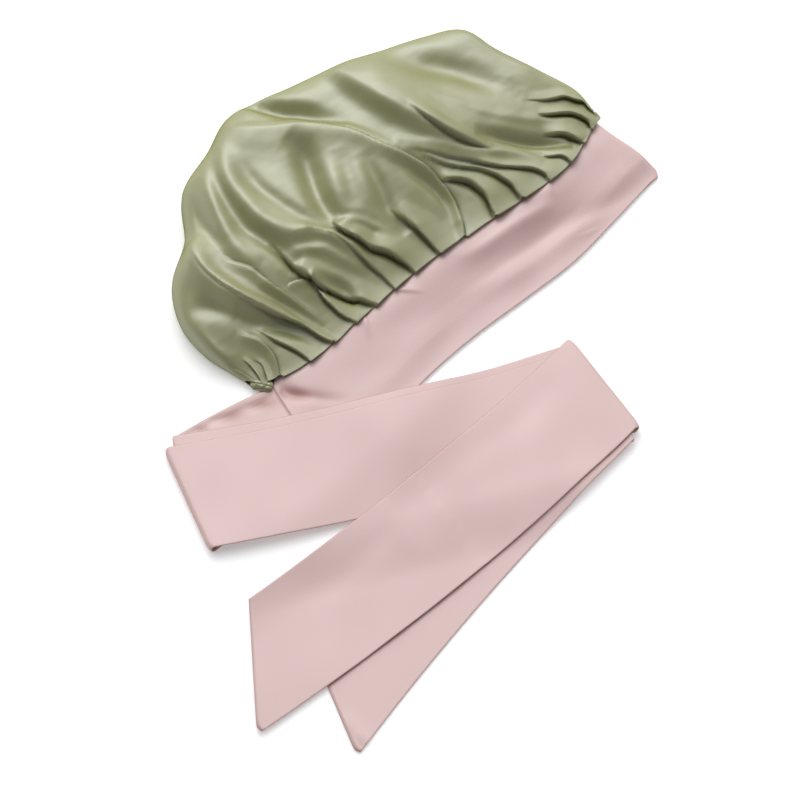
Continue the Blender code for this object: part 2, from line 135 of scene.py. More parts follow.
# At even steps along the seam, from the nape to the forehead: the crown's hem, the height of its
# puff, and the shelf and the free edge of the band in front of it.
Station = namedtuple("Station", "hem_y hem_z puff shelf_z brim_y brim_z")
STATIONS = (
    Station(-4.0, 6.2, 9.0, 3.6, -77.5, 2.6),
    Station(-8.0, 8.6, 20.0, 4.6, -71.0, 2.8),
    Station(-7.0, 10.4, 36.0, 5.8, -65.0, 3.0),
    Station(-7.0, 12.6, 42.0, 6.4, -63.8, 3.2),
    Station(-10.0, 14.2, 40.0, 6.4, -66.0, 3.2),
    Station(-15.0, 14.6, 36.0, 6.6, -67.5, 3.6),
    Station(-16.0, 14.0, 29.0, 7.6, -63.0, 4.2),
    Station(-3.0, 12.0, 20.0, 8.0, -58.0, 4.6),
)
# At even steps round the bag: its outline, how high that edge is above the table, and how far in
# from it the cloth is rounded.
Edge = namedtuple("Edge", "x y half roll")
EDGES = (
    Edge(-4, 12, 3.8, 6),
    Edge(-8, 25, 6, 8),
    Edge(-12, 44, 7, 10),
    Edge(-10, 69, 9, 16),
    Edge(5, 95, 10, 24),
    Edge(32, 114, 10, 28),
    Edge(54, 142, 11, 30),
    Edge(85, 154, 11, 32),
    Edge(116, 166, 11, 34),
    Edge(158, 157, 11, 34),
    Edge(193, 149, 11, 34),
    Edge(226, 138, 10, 32),
    Edge(256, 127, 9, 28),
    Edge(280, 113, 9, 22),
    Edge(287, 86, 9, 20),
    Edge(298, 54, 8, 18),
    Edge(308, 27, 7, 14),
    Edge(306, 6, 6, 7),
)
RISE, RISE_POWER = 80.0, 0.9
NAPE_SETBACK, NAPE_REACH = 5.0, 34.0


def smooth_step(t):
    t = np.clip(t, 0.0, 1.0)
    return t * t * (3.0 - 2.0 * t)


def left_of(reach, distance):
    """1 at no distance, and evenly less until 0 at reach."""
    return np.clip(1.0 - distance / reach, 0.0, 1.0)


def quarter_round(reach, distance):
    """0 at no distance, rising along a quarter of a circle to 1 at reach."""
    return np.sqrt(1.0 - left_of(reach, distance) ** 2)


def through(values, t):
    """A smooth curve through evenly spaced values, for t from 0 to 1."""
    values = np.asarray(values, float)
    last = len(values) - 1
    place = np.clip(np.asarray(t, float), 0.0, 1.0) * last
    i = np.minimum(place.astype(int), last - 1)
    f = place - i
    before, after = values[np.maximum(i - 1, 0)], values[np.minimum(i + 2, last)]
    a, b = values[i], values[i + 1]
    cubic = 3.0 * (a - b) + after - before
    square = 2.0 * before - 5.0 * a + 4.0 * b - after
    return a + 0.5 * f * (b - before + f * (square + f * cubic))


def column(rows, name, t):
    return through([getattr(row, name) for row in rows], t)


def crown_hem_y(x):
    return column(STATIONS, "hem_y", x / SEAM) + NAPE_SETBACK * smooth_step(1.0 - x / NAPE_REACH)


def smooth_crown(share, around):
    """Points of the bag before it is folded, and how far each is from the hem and from the
    outline. Share runs along the seam; around is 0 at the hem, 1 at the outline and 2 at the
    hem underneath."""
    seam = np.stack([SEAM * share, crown_hem_y(SEAM * share)], -1)
    edge = np.stack([column(EDGES, "x", share), column(EDGES, "y", share)], -1)
    reach = np.linalg.norm(edge - seam, axis=-1)
    out = np.where(around <= 1.0, around, 2.0 - around)
    plan = seam + (edge - seam) * out[..., None]
    from_hem, from_edge = reach * out, reach * (1.0 - out)
    half, roll = column(EDGES, "half", share), column(EDGES, "roll", share)
    rise = smooth_step(from_hem / RISE) ** RISE_POWER
    hem_z = column(STATIONS, "hem_z", share)
    top = hem_z + (column(STATIONS, "puff", share) - hem_z) * rise
    upper = half + (top - half) * quarter_round(roll, from_edge)
    lower = half * (1.0 - quarter_round(np.minimum(half, roll), from_edge))
    z = np.where(around <= 1.0, upper, lower)
    return np.concatenate([plan, z[..., None]], -1), from_hem, from_edge


# The crown's folds. Each follows a course in the bonnet's plan, most of them outwards, and lifts
# the cloth along it by its heights, or sinks it where they are below zero. The lift fades out over
# near on one side and over far on the other, which is right of the course where side is 1. Up to
# the share crisp of its course, a fold drops at once on its near side: its edge is rounded within
# roll, it leans over the cloth beside it, and that cloth sinks into a pocket. Where a fold has a
# pocket, the crevice under its edge is marked for painted shade. A fold whose crisp is 0 is a soft
# ridge or valley all along.
Fold = namedtuple("Fold", "heights near far course side roll crisp lean pocket",
                  defaults=(1, 0.8, 0.0, 0.5, 0.0))
FOLDS = (
    # From the nape to the forehead, the pleats at the hem and the folds that grow out of them.
    Fold((1.2, 2.6, 3.2, 3.2, 2.4, 0), 4.5, (6, 7),
         ((13, -4), (17, 3), (20, 11), (19, 20), (15, 28), (10, 36)),
         side=-1, roll=1.6, crisp=0.3, lean=0.2, pocket=0.6),
    Fold((2.2, 3, 3, 2, 0), 4, (14, 10, 8), ((35, -9), (34, 0), (30, 10), (25, 20), (20, 32)),
         crisp=0.6, pocket=1.5),
    Fold((2.2, 4, 5, 6.5, 8, 9, 10, 9.5, 8, 6), 13, (6, 7, 9, 12, 14, 14),
         ((55, -9), (52, -1), (48, 11), (42, 21), (35, 31), (28, 42), (23, 54), (20, 69), (20, 82),
          (25, 102)), roll=1.2, crisp=0.3, pocket=3),
    Fold((0, -2, -3, -3, -1.5), 9, (8, 8), ((48, -1), (42, 10), (35, 21), (26, 31), (20, 43))),
    Fold((0, -2.5, -3.5, -3, -1), 10, (10, 10), ((24, 27), (19, 42), (13, 53), (6, 61), (-3, 67))),
    Fold((0, 1.5, 2.2, 2.2, 1.5, 0), 5, (5, 5),
         ((58, 4), (57, 12), (53, 22), (49, 32), (45, 42), (42, 51))),
    Fold((0, -1.5, -2.2, -1.5, 0), 4.5, (4.5, 4.5),
         ((55, -1), (52, 12), (49, 23), (45, 34), (43, 45))),
    Fold((0, 2, 3, 3.5, 3, 2, 1, 0), 5, (7, 9),
         ((58, 10), (54, 23), (51, 32), (48, 40), (46, 50), (44, 59), (40, 67), (37, 77),
          (37, 90)), side=-1, roll=2.2, crisp=0.8, lean=0.3, pocket=1),
    Fold((2.2, 4, 4.5, 4.5, 4, 3), 4, (12, 10, 8, 6),
         ((75, -6), (72, 2), (71, 9), (70, 17), (71, 24), (71, 30)),
         roll=0.7, crisp=1, pocket=1.2),
    Fold((2.6, 2.2, 1.5, 0), 4, (7, 7), ((72, 30), (66, 34), (60, 36), (54, 37)),
         side=-1, roll=1.6, crisp=0.6, lean=0.3, pocket=1),
    Fold((2.2, 4, 5.8, 6.8, 6.4, 5.2, 3.4, 1.6, 0), 8, (15, 15, 14, 13, 13),
         ((94, -8), (88, 3), (81, 12), (75, 22), (70, 32), (67, 42), (66, 53), (65, 65)),
         roll=1.8, crisp=0.8, pocket=5),
    Fold((0, 1.8, 2.4, 2.2, 1.5, 1, 0), 5, (6, 6),
         ((68, 48), (74, 48), (82, 44), (90, 38), (95, 29), (100, 20), (103, 11))),
    Fold((2.2, 3.2, 4, 4.5, 4.5, 4.5, 3.5, 2.5, 0), 6, (16, 14, 12, 11),
         ((110, -8), (110, 4), (108, 14), (106, 24), (103, 34), (99, 43), (92, 51), (83, 55),
          (75, 57)), roll=1.2, crisp=0.25, lean=0.4, pocket=1),
    Fold((0, -4, -6, -5, 0), 6, (6, 6), ((72, 30), (77, 24), (82, 17), (85, 9), (86, 2))),
    Fold((2.2, 4.5, 6.5, 7, 7, 6, 5, 3), 6, (19, 17, 12, 10, 8),
         ((128, -7), (128, 0), (126, 7), (122, 15), (116, 22), (113, 30), (110, 36), (107, 43),
          (107, 48)), roll=1.0, crisp=1, pocket=4),
    Fold((0, 1.5, 1.5, 1.2, 0), 4, (5, 5),
         ((109, 50), (115, 44), (122, 38), (129, 28), (134, 19))),
    Fold((2.2, 4, 5, 5, 4, 3, 0), 5, (20, 18, 14, 12),
         ((149, -10), (150, -2), (150, 6), (149, 14), (147, 22), (144, 29), (143, 37)),
         roll=0.9, crisp=0.6, pocket=2),
    Fold((2.2, 4, 5, 5, 4.5, 4, 3, 1), 8, (20, 18, 13, 9, 7),
         ((194, -14), (198, -7), (201, 1), (201, 8), (199, 16), (194, 22), (188, 26), (183, 27)),
         roll=0.9, crisp=0.8, pocket=3.5),
    Fold((2.2, 4, 4.5, 4.2, 3.5, 3, 3, 2, 1), 5, (21, 18, 14, 9, 7, 6),
         ((217, -17), (219, -10), (220, -3), (218, 4), (215, 11), (209, 19), (200, 27), (191, 37),
          (185, 46)), roll=0.9, crisp=0.9, pocket=1.8),
    Fold((2.2, 4, 4, 3.5, 3, 3, 3, 2.5, 2, 1), 4, (17, 14, 10, 9, 8, 8),
         ((241, -17), (243, -12), (242, -7), (238, -1), (230, 5), (222, 11), (215, 18), (208, 26),
          (199, 35), (190, 45), (180, 56)), roll=0.9, crisp=0.8, pocket=1.2),
    Fold((0, 1.5, 2.2, 2.5, 2.5, 2, 1.5, 1), 4.5, (6, 6),
         ((249, -4), (244, 5), (234, 14), (221, 23), (210, 32), (198, 45), (189, 54), (179, 65)),
         side=-1),
    Fold((2, 2.8, 2.5, 1.5, 0), 3, (16, 12, 10),
         ((262, -16), (263, -12), (261, -7), (255, -3), (251, 0)), crisp=0.8, pocket=1),
    Fold((2, 3.8, 4, 3.5, 2, 0), 6, (14, 11, 9),
         ((280, -9), (279, -5), (277, 0), (274, 4), (268, 8), (262, 11)), crisp=0.8, pocket=4),
    Fold((-2, -4.5, -5.5, -5, -2), 6, (7, 7),
         ((273, -4), (261, 5), (248, 15), (236, 26), (226, 35))),
    Fold((2, 4, 4.5, 4, 3.5, 2.5, 0), 5, (9, 9, 8),
         ((293, -4), (295, 0), (294, 5), (290, 11), (284, 15), (276, 19), (269, 23)),
         crisp=0.9, pocket=4),
    Fold((0.4, 0.8, 1, 1, 0.8, 0.5, 0), 5, (7, 7),
         ((293, 1), (279, 12), (262, 24), (246, 37), (233, 53), (223, 71), (217, 89))),
    Fold((1.5, 3.5, 4, 4, 3.5, 2.5, 1.5, 0), 4, (8, 8),
         ((303, 2), (303, 8), (303, 13), (299, 17), (294, 23), (286, 26), (279, 29), (269, 36)),
         crisp=0.8, pocket=1.6),
    # Four small puckers that the elastic at the nape draws together.
    Fold((1.5, 2, 1, 0), 2, (4, 4), ((-2, 2), (-5, 8), (-7, 15), (-9, 22)),
         side=-1, roll=0.7, crisp=0.8, pocket=0.6),
    Fold((1.5, 2.5, 1.5, 0), 2, (4, 4), ((0, 2), (-1, 9), (-3, 17), (-8, 27)),
         side=-1, roll=0.7, crisp=0.8, pocket=0.6),
    Fold((1.5, 2.5, 1.5, 0), 2, (4, 4), ((2, 2), (4, 8), (4, 16), (2, 22)),
         roll=0.7, crisp=0.8, pocket=0.6),
    Fold((1.5, 2, 1, 0), 2, (4, 4), ((5, 0), (8, 4), (10, 11), (8, 17)),
         roll=0.7, crisp=0.8, pocket=0.6),
    # Then the wide ridges farther out, and the soft valleys between them.
    Fold((2.2, 4, 5, 5.5, 5.5, 5.2, 5, 5, 5, 5, 5, 4, 2), 7, (7, 8, 8, 9, 12, 20, 26, 26),
         ((170, -11), (176, -3), (180, 6), (183, 16), (183, 26), (182, 38), (177, 51), (170, 65),
          (163, 83), (154, 100), (141, 114), (122, 128), (106, 145), (108, 167)),
         side=-1, roll=3.0, crisp=0.35, lean=0.15, pocket=2),
    Fold((0, -2.5, -3.5, -3.5, -2.5, 0), 8, (8, 8),
         ((174, 1), (177, 10), (178, 19), (177, 29), (173, 39), (171, 49), (169, 57))),
    Fold((-2.5, -4, -4.5, -4.5, -3.5, 0), 10, (8, 9),
         ((143, 19), (143, 29), (144, 39), (148, 50), (151, 62), (154, 73))),
    Fold((-5, -9, -10, -9, -6, 0), 14, (12, 14),
         ((109, 50), (110, 60), (114, 74), (121, 89), (126, 102), (124, 115))),
    Fold((-1, -2, -2.5, -2.5, -3, -3, -2, 0), 9, (7, 7),
         ((110, 37), (106, 43), (99, 53), (93, 65), (89, 81), (87, 97), (88, 112), (91, 127))),
    Fold((2, 4, 5, 5.5, 5.5, 5, 4, 2), 10, (13, 13),
         ((85, 54), (77, 62), (71, 76), (70, 88), (71, 102), (74, 115), (81, 130), (92, 145))),
    Fold((-3, -4.5, -4.5, -4, -3, -2.5, -1), 10, (9, 9),
         ((69, 44), (67, 56), (64, 70), (62, 82), (64, 96), (67, 111), (72, 125), (81, 140))),
    Fold((0, 2.5, 3.5, 4, 3.5, 2.5, 1.5), 9, (9, 9),
         ((52, 57), (47, 67), (47, 80), (51, 96), (57, 111), (65, 126), (76, 141))),
    Fold((0, -3, -3, -1), 9, (9, 9), ((40, 80), (42, 99), (48, 118), (57, 133))),
    Fold((1, 3, 5, 7, 9, 11, 12, 12, 10, 7), 13, (26, 34, 40, 40),
         ((223, 25), (218, 32), (213, 41), (207, 51), (201, 62), (197, 72), (193, 84), (190, 97),
          (188, 113), (187, 129))),
    Fold((2, 4.5, 5.2, 4.4, 2.6, 0), 5, (9, 10, 12),
         ((222, 25), (217, 31), (212, 38), (207, 47), (203, 57), (200, 68), (198, 79)),
         roll=2.2, crisp=0.7, lean=0.4, pocket=2.5),
    Fold((0, -2.5, -3.5, -2.5, 0), 11, (11, 11), ((124, 46), (131, 57), (138, 70), (146, 84))),
    Fold((-3, -9, -11, -9, -5, 0), 10, (11, 11),
         ((131, 174), (132, 152), (138, 137), (147, 124), (155, 110), (164, 95))),
    Fold((0, 1.2, 1.5, 1.2, 0), 8, (9, 9), ((-11, 66), (-11, 47), (-7, 33), (1, 22))),
    Fold((-3, -5.5, -7.5, -8, -7, -4, -1), 17, (21, 19),
         ((223, 120), (233, 105), (244, 90), (254, 72), (261, 55), (270, 38))),
)
# How a fold's parts fade out: a soft flank is a bell, and the lean, the pocket and the crevice's
# painted shade have reaches in millimetres. The mesh is drawn closer together within 6 mm of a crisp
# edge.
COURSE_STEPS = 140
CRISP_FADE = 0.35
BELL, BELL_REACH = 2.6, 1.6
END_FADE = 0.6
LEAN_HEIGHT, LEAN_REACH = 6.0, 9.0
POCKET_INSIDE, POCKET_TAPER = 1.0, 0.7
CREVICE_INSIDE, CREVICE_OUTSIDE, CREVICE_HEIGHT = 0.3, 1.3, 3.0
DRAWN_WITHIN, DRAWN_POWER, DRAWN_PAST_END, DRAWN_LAST_PART = 6.0, 1.5, 5.0, 6.0
HEM_ROWS_EASE, OUTER_ROWS, OUTER_ROWS_EASE = 0.01, 0.93, 0.05
NUDGE = 1e-4


def crispness(fold, t):
    """1 where a fold has a rolled edge, and 0 from where it is a soft ridge."""
    return 1.0 - smooth_step((t - fold.crisp) / CRISP_FADE) if fold.crisp else 0.0 * t


def course_of(fold):
    t = np.linspace(0.0, 1.0, COURSE_STEPS)
    points = np.array(fold.course, float)
    course = np.stack([through(points[:, 0], t), through(points[:, 1], t)], -1)
    along = np.gradient(course, axis=0)
    along /= np.linalg.norm(along, axis=1, keepdims=True)
    return t, course, along


def beside(fold, plan, reach):
    """Where each point is beside a fold: which points are near, how far each is to the bank's
    side and past the course's ends, the share of the course passed, and the way across."""
    t, course, along = course_of(fold)
    near = ((plan > course.min(0) - reach) & (plan < course.max(0) + reach)).all(-1)
    here = plan[near]
    away = here[:, None, :] - course
    nearest = np.argmin((away**2).sum(-1), axis=-1)
    away, along = away[np.arange(len(here)), nearest], along[nearest]
    across = fold.side * np.stack([along[:, 1], -along[:, 0]], -1)
    right = (away * across).sum(-1)
    beyond = np.abs((away * along).sum(-1)) * ((nearest == 0) | (nearest == COURSE_STEPS - 1))
    return near, right, beyond, t[nearest], across


def draw_closer(share, around):
    """Moves the columns and rows of the mesh towards the crisp edges of the folds."""
    start = smooth_crown(share, around)[0][..., :2]
    plan = start.copy()
    for fold in FOLDS:
        if fold.crisp == 0.0:
            continue
        near, right, beyond, t, across = beside(fold, plan, DRAWN_WITHIN)
        within = np.clip(right, -DRAWN_WITHIN, DRAWN_WITHIN)
        size = np.abs(within) / DRAWN_WITHIN
        closer = np.sign(right) * DRAWN_WITHIN * size**DRAWN_POWER - within
        closer *= smooth_step(1.0 - beyond / DRAWN_PAST_END)
        closer *= smooth_step((1.0 - t) * DRAWN_LAST_PART)
        plan[near] += across * closer[:, None]
    moved = plan - start
    by_share = (smooth_crown(share + NUDGE, around)[0][..., :2] - start) / NUDGE
    by_around = (smooth_crown(share, around - NUDGE)[0][..., :2] - start) / -NUDGE
    spread = by_share[..., 0] * by_around[..., 1] - by_share[..., 1] * by_around[..., 0]
    d_share = (moved[..., 0] * by_around[..., 1] - moved[..., 1] * by_around[..., 0]) / spread
    d_around = (by_share[..., 0] * moved[..., 1] - by_share[..., 1] * moved[..., 0]) / spread
    ease = smooth_step(around / HEM_ROWS_EASE)
    ease *= smooth_step((OUTER_ROWS - around) / OUTER_ROWS_EASE)
    free = (share > 0.0) & (share < 1.0) & (around < OUTER_ROWS)
    return share + np.where(free, d_share, 0.0), around + np.where(free, d_around * ease, 0.0)


def lay_folds(points, folds, fade, lean_fade):
    """Raises, hollows and leans the points of a cloth by every fold that passes them, and tells
    how deep in a crevice each point is, for painted shade."""
    plan = points[..., :2].copy()
    lift, shift = np.zeros(plan.shape[:-1]), np.zeros(plan.shape)
    crevice_shade = np.zeros(plan.shape[:-1])
    for fold in folds:
        reach = BELL_REACH * max(*fold.far, fold.near)
        near, right, beyond, t, across = beside(fold, plan, reach)
        on_bank = right > 0.0
        height, far = through(fold.heights, t), through(fold.far, t)
        crisp = crispness(fold, t)
        aside = np.clip(right / far, 0.0, 1.0)
        rolled = quarter_round(fold.roll, right)
        bank = crisp * rolled * (1.0 - aside) * (1.0 - aside**4)
        bank += (1.0 - crisp) * np.exp(-BELL * (right / far) ** 2)
        flank = (1.0 - crisp) * np.exp(-BELL * (right / fold.near) ** 2)
        hollow = np.where(on_bank, left_of(POCKET_INSIDE, right), left_of(fold.near, -right))
        hollow = fold.pocket * hollow**2 * np.sin(math.pi * t) ** POCKET_TAPER
        past = smooth_step(1.0 - beyond / (END_FADE * far))
        lift[near] += (height * np.where(on_bank, bank, flank) - hollow) * past
        lean = fold.lean * crisp * np.clip(height, 0.0, LEAN_HEIGHT)
        over = lean * rolled * left_of(LEAN_REACH, right) ** 2 * on_bank * past
        shift[near] -= across * over[:, None]
        deep = np.where(on_bank, left_of(CREVICE_INSIDE, right),
                        left_of(CREVICE_OUTSIDE, -right - lean))
        deep *= crisp * past * np.clip(height / CREVICE_HEIGHT, 0.0, 1.0) * (fold.pocket > 0.0)
        crevice_shade[near] = np.maximum(crevice_shade[near], deep)
    points[..., 2] += lift * fade
    points[..., :2] += shift * (fade * lean_fade)[..., None]
    return points, crevice_shade * fade


def cloth_mesh(name, grid, flat_uv):
    """One sheet of cloth through a grid of points, with its own flat measure in metres as UV."""
    rows, columns = grid.shape[:2]
    points = grid.reshape(-1, 3).copy()
    points[:, :2] += NAPE
    first = np.arange(rows * columns).reshape(rows, columns)
    quads = np.stack([first[:-1, :-1], first[1:, :-1], first[1:, 1:], first[:-1, 1:]], -1)
    quads = quads.reshape(-1, 4)
    mesh = bpy.data.meshes.new(name)
    mesh.from_pydata((points * MM).tolist(), [], quads.tolist())
    uv = mesh.uv_layers.new(name="flat")
    uv.data.foreach_set("uv", (flat_uv.reshape(-1, 2)[quads.reshape(-1)] * MM).ravel())
    mesh.shade_smooth()
    mesh.update()
    piece = bpy.data.objects.new(name, mesh)
    bpy.context.scene.collection.objects.link(piece)
    return piece


def flat_measure(grid):
    """How far each point of a grid is along the cloth, both ways."""
    across = np.linalg.norm(np.diff(grid, axis=0), axis=-1)
    along = np.linalg.norm(np.diff(grid, axis=1), axis=-1)
    u = np.concatenate([np.zeros((1, grid.shape[1])), np.cumsum(across, axis=0)])
    v = np.concatenate([np.zeros((grid.shape[0], 1)), np.cumsum(along, axis=1)], axis=1)
    return np.stack([u, v], -1)


def give_wall(piece, thickness, side=-1.0, fullness=None):
    """Turns a sheet into a closed wall of cloth, thinner where it is less than full."""
    wall = piece.modifiers.new("wall", "SOLIDIFY")
    wall.thickness = thickness * MM
    wall.offset = side
    wall.use_even_offset = False
    if fullness is not None:
        full = piece.vertex_groups.new(name="full")
        for weight in np.unique(fullness):
            full.add(np.flatnonzero(fullness.ravel() == weight).tolist(), float(weight), "REPLACE")
        wall.vertex_group = "full"


def keep_painted_shade(piece, amounts):
    """Keeps with each point how much painted shade darkens its colour."""
    painted_shade = piece.data.attributes.new("painted_shade", "FLOAT", "POINT")
    painted_shade.data.foreach_set("value", amounts.ravel())


GRAIN_SCALE, GRAIN_DETAIL = 900.0, 2.0


def weave_group():
    """The ribs of a weave, as lines that slant across the cloth and aren't quite even."""
    group = bpy.data.node_groups.new("woven threads", "ShaderNodeTree")
    for name, value in (("Threads per metre", 1500.0), ("Slant", 1.0), ("Unevenness", 0.3)):
        socket = group.interface.new_socket(name, in_out="INPUT", socket_type="NodeSocketFloat")
        socket.default_value = value
    group.interface.new_socket("Height", in_out="OUTPUT", socket_type="NodeSocketFloat")
    nodes, links = group.nodes, group.links
    given, result = nodes.new("NodeGroupInput"), nodes.new("NodeGroupOutput")
    uv = nodes.new("ShaderNodeUVMap")
    uv.uv_map = "flat"
    parts = nodes.new("ShaderNodeSeparateXYZ")
    links.new(uv.outputs["UV"], parts.inputs[0])

    def maths(operation, *values):
        node = nodes.new("ShaderNodeMath")
        node.operation = operation
        for slot, value in zip(node.inputs, values):
            if isinstance(value, float):
                slot.default_value = value
            else:
                links.new(value, slot)
        return node.outputs[0]

    slanted = maths("MULTIPLY_ADD", parts.outputs["Y"], given.outputs["Slant"],
                    parts.outputs["X"])
    threads = maths("MULTIPLY", slanted, given.outputs["Threads per metre"])
    wave = maths("SINE", maths("MULTIPLY", threads, math.tau))
    grain = nodes.new("ShaderNodeTexNoise")
    grain.inputs["Scale"].default_value = GRAIN_SCALE
    grain.inputs["Detail"].default_value = GRAIN_DETAIL
    links.new(uv.outputs["UV"], grain.inputs["Vector"])
    uneven = maths("MULTIPLY", grain.outputs["Fac"], given.outputs["Unevenness"])
    height = maths("ADD", maths("MULTIPLY", wave, 0.5), uneven)
    links.new(height, result.inputs["Height"])
    return group


WEAVE = weave_group()
COAT_IOR = 1.8
SHINE_FULL, SHINE_GONE = 0.35, 0.85
DRIFT_SCALE, DRIFT_DETAIL = 14.0, 3.0
THREAD_HEIGHT = 0.0002


def cloth_material(name, colour, shade, painted_crease_shade, polish, roughness, threads, slant, depth):
    """A dyed satin: its colour drifts a little, its creases are painted darker as painted shade, its
    smooth threads shine white, most where the cloth faces the eye, and they show as a fine relief."""
    material = bpy.data.materials.new(name)
    material.use_nodes = True
    nodes, links = material.node_tree.nodes, material.node_tree.links
    shader = nodes["Principled BSDF"]
    shader.inputs["Roughness"].default_value = roughness
    shader.inputs["Coat IOR"].default_value = COAT_IOR
    shader.inputs["Coat Roughness"].default_value = roughness
    seen = nodes.new("ShaderNodeLayerWeight")
    seen.inputs["Blend"].default_value = 0.5
    shine = nodes.new("ShaderNodeMapRange")
    shine.inputs["From Min"].default_value = SHINE_FULL
    shine.inputs["From Max"].default_value = SHINE_GONE
    shine.inputs["To Min"].default_value = polish
    shine.inputs["To Max"].default_value = 0.0
    links.new(seen.outputs["Facing"], shine.inputs["Value"])
    links.new(shine.outputs["Result"], shader.inputs["Coat Weight"])
    links.new(shine.outputs["Result"], shader.inputs["Specular IOR Level"])
    place = nodes.new("ShaderNodeTexCoord")
    drift = nodes.new("ShaderNodeTexNoise")
    drift.inputs["Scale"].default_value = DRIFT_SCALE
    drift.inputs["Detail"].default_value = DRIFT_DETAIL
    links.new(place.outputs["Object"], drift.inputs["Vector"])
    dye = nodes.new("ShaderNodeMix")
    dye.data_type = "RGBA"
    dye.inputs["A"].default_value = (*shade, 1.0)
    dye.inputs["B"].default_value = (*colour, 1.0)
    links.new(drift.outputs["Fac"], dye.inputs["Factor"])
    # Painted shade: the colour is darkened towards the crease colour by how much painted shade each
    # point keeps.
    painted_shade = nodes.new("ShaderNodeAttribute")
    painted_shade.attribute_name = "painted_shade"
    crevice = nodes.new("ShaderNodeMix")
    crevice.data_type = "RGBA"
    crevice.inputs["B"].default_value = (*painted_crease_shade, 1.0)
    links.new(painted_shade.outputs["Fac"], crevice.inputs["Factor"])
    links.new(dye.outputs["Result"], crevice.inputs["A"])
    links.new(crevice.outputs["Result"], shader.inputs["Base Color"])
    woven = nodes.new("ShaderNodeGroup")
    woven.node_tree = WEAVE
    woven.inputs["Threads per metre"].default_value = threads
    woven.inputs["Slant"].default_value = slant
    relief = nodes.new("ShaderNodeBump")
    relief.inputs["Strength"].default_value = depth
    relief.inputs["Distance"].default_value = THREAD_HEIGHT
    links.new(woven.outputs["Height"], relief.inputs["Height"])
    links.new(relief.outputs["Normal"], shader.inputs["Normal"])
    return material


# The sage's crease colour is the painted shade in the crevices of its folds and along its hem.
SAGE_SATIN = cloth_material("sage satin", colour=(0.268, 0.272, 0.107),
                            shade=(0.236, 0.24, 0.088), painted_crease_shade=(0.12, 0.118, 0.045), polish=0.9,
                            roughness=0.46, threads=3000.0, slant=0.2, depth=0.15)

# The slack cloth between the folds isn't quite smooth anywhere: it has ripples of four lengths,
# each with its height and its own seed. The hem hangs lower at each pleat's folded edge.
WAVE_PARTS, WAVE_STRETCH, LATEST_START, WAVES_HIGH = 7, (0.7, 1.4), 7.0, 3.0
Ripple = namedtuple("Ripple", "length height seed")
RIPPLES = (Ripple(60.0, 0.65, 5), Ripple(24.0, 0.17, 6), Ripple(11.0, 0.08, 7),
           Ripple(6.5, 0.035, 8))
RIPPLES_FROM_HEM, RIPPLES_FROM_EDGE = 25.0, 15.0
PLEATS_AT_HEM = (15, 35, 56, 75, 93, 110, 128, 150, 172, 197, 220, 242, 263, 281, 293)
HEM_STEP, HEM_STEP_REACH, HEM_STEP_MIDDLE = 1.8, 6.0, 0.6
# Painted shade along the hem: how far out it reaches, and how dark it is.
HEM_EDGE, HEM_EDGE_SHADE = 1.1, 0.75
FOLDS_FROM_EDGE = 12.0
LEAN_AT_HEM, LEAN_FROM_HEM = 0.6, 8.0
CROWN_WALL = 0.7
CROWN_COLUMNS = 270
# Rows of the mesh: close together over the pleats, then over the bag, close again round its
# outline, and back underneath.
CROWN_ROWS = np.concatenate([np.linspace(0.0, 0.25, 40), np.linspace(0.26, 0.9, 78),
                             np.linspace(0.905, 1.0, 18), (1.006, 1.015, 1.03, 1.05, 1.08, 1.14),
                             np.linspace(1.22, 2.0, 10)])


def waves(plan, length, seed):
    """Gentle uneven waves, about one high, as a sum of a few crossing ripples."""
    draw = np.random.default_rng(seed)
    total = np.zeros(plan.shape[:-1])
    for _ in range(WAVE_PARTS):
        heading, stretch = draw.uniform(0.0, math.pi), draw.uniform(*WAVE_STRETCH)
        across = plan[..., 0] * math.cos(heading) + plan[..., 1] * math.sin(heading)
        start = draw.uniform(0.0, LATEST_START)
        total += np.sin(2.0 * math.pi * across / (length * stretch) + start)
    return total / WAVES_HIGH


def ripple(plan, ripples):
    return sum(row.height * waves(plan, row.length, row.seed) for row in ripples)


def step_hem(points, from_hem):
    """Turns the hem of each pleat a little, so that its folded edge hangs lower than the last."""
    ends = np.array((0,) + PLEATS_AT_HEM + (SEAM,), float)
    part = np.clip(np.searchsorted(ends, points[..., 0], side="right") - 1, 0, len(ends) - 2)
    turned = (points[..., 0] - ends[part]) / (ends[part + 1] - ends[part])
    fade = smooth_step(1.0 - from_hem / HEM_STEP_REACH)
    points[..., 1] += HEM_STEP * (np.clip(turned, 0.0, 1.0) - HEM_STEP_MIDDLE) * fade
    return points


def make_crown():
    share, around = np.meshgrid(np.linspace(0.0, 1.0, CROWN_COLUMNS), CROWN_ROWS, indexing="ij")
    share, around = draw_closer(share, around)
    points, from_hem, from_edge = smooth_crown(share, around)
    from_edge = np.where(around < 1.0, from_edge, 0.0)
    points = step_hem(points, from_hem)
    fade = smooth_step(from_edge / FOLDS_FROM_EDGE)
    lean_fade = LEAN_AT_HEM + (1.0 - LEAN_AT_HEM) * smooth_step(from_hem / LEAN_FROM_HEM)
    points, crevice_shade = lay_folds(points, FOLDS, fade, lean_fade)
    # Painted shade in the crevices under the folds' edges and along the hem.
    at_hem = smooth_step(1.0 - from_hem / HEM_EDGE) * (around < 1.0)
    crevice_shade = np.maximum(crevice_shade, HEM_EDGE_SHADE * at_hem)
    slack = smooth_step(from_hem / RIPPLES_FROM_HEM) * smooth_step(from_edge / RIPPLES_FROM_EDGE)
    points[..., 2] += ripple(points[..., :2], RIPPLES) * slack
    crown = cloth_mesh("crown_bag", points, flat_measure(points))
    keep_painted_shade(crown, crevice_shade)
    give_wall(crown, CROWN_WALL)
    crown.data.materials.append(SAGE_SATIN)
    return crown


crown = make_crown()
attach(crown, "root")
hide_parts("crown")


